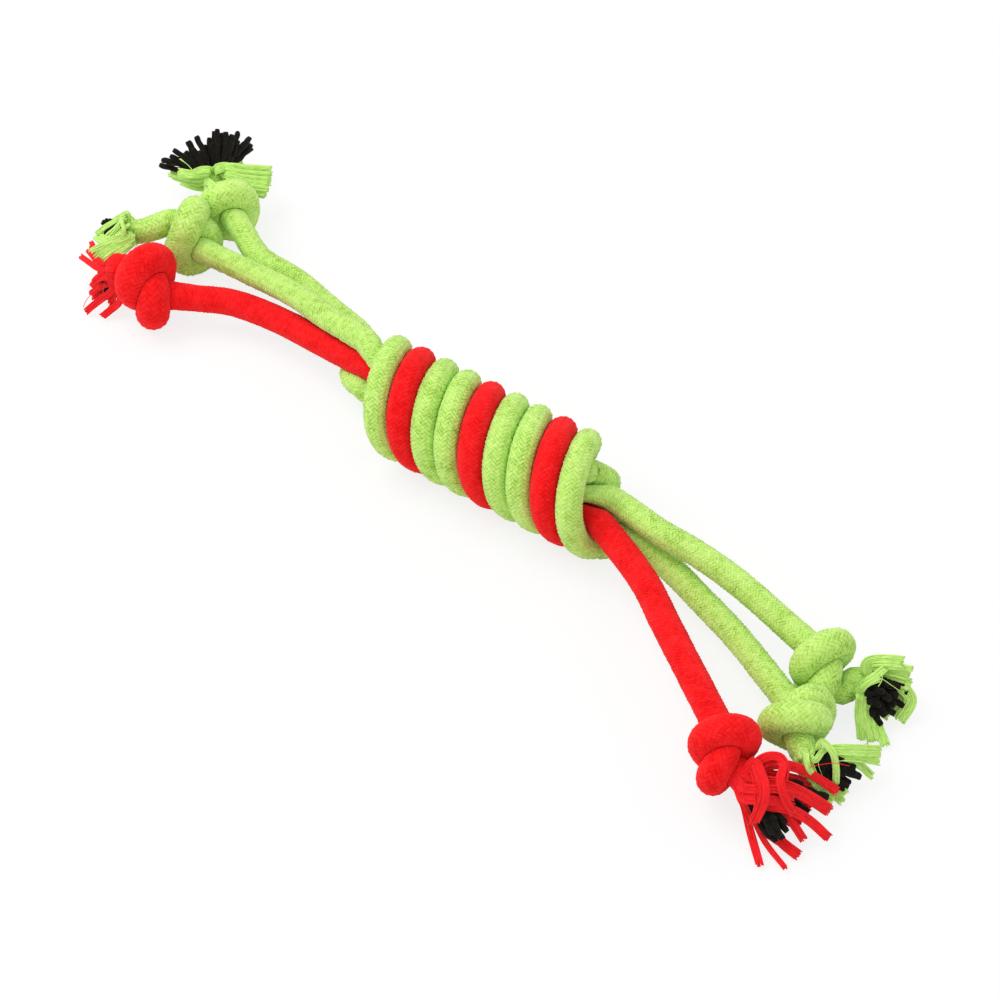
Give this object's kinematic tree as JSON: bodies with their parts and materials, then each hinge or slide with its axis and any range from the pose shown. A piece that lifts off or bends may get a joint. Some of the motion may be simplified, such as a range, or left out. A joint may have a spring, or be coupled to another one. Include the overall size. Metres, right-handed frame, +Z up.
{
  "type": "rope dog toy",
  "caption": "Tug toy of soft braided ropes tied side by side into one long wound knot, with a knot near each rope end and frayed ends showing black core yarns.",
  "frame": {"origin": "on the plane that the toy lies on, under the middle of the long wound knot, where green rope a's middle turn rests", "axes": "+X along the wound knot, towards the ends that lie spread at the lower right of the picture; +Y across it, to the picture's far side; +Z up"},
  "size_m": [0.4153, 0.1977, 0.0449],
  "materials": {
    "green_rope": "matt braided yarn",
    "red_rope": "matt braided yarn",
    "black_yarn": "matt yarn"
  },
  "bodies": {
    "root": {"green_rope_a_winding": "green_rope", "green_rope_a_left_tail": "green_rope", "green_rope_a_left_knot": "green_rope", "green_rope_a_left_fray": "green_rope", "green_rope_a_left_core": "black_yarn", "green_rope_a_right_tail": "green_rope", "green_rope_a_right_knot": "green_rope", "green_rope_a_right_fray": "green_rope", "green_rope_a_right_core": "black_yarn", "red_rope_winding": "red_rope", "red_rope_left_tail": "red_rope", "red_rope_left_knot": "red_rope", "red_rope_left_fray": "red_rope", "red_rope_left_core": "black_yarn", "red_rope_right_tail": "red_rope", "red_rope_right_knot": "red_rope", "red_rope_right_fray": "red_rope", "red_rope_right_core": "black_yarn", "green_rope_b_winding": "green_rope", "green_rope_b_left_tail": "green_rope", "green_rope_b_left_knot": "green_rope", "green_rope_b_left_fray": "green_rope", "green_rope_b_left_core": "black_yarn", "green_rope_b_right_tail": "green_rope", "green_rope_b_right_knot": "green_rope", "green_rope_b_right_fray": "green_rope", "green_rope_b_right_core": "black_yarn"}
  },
  "joints": []
}
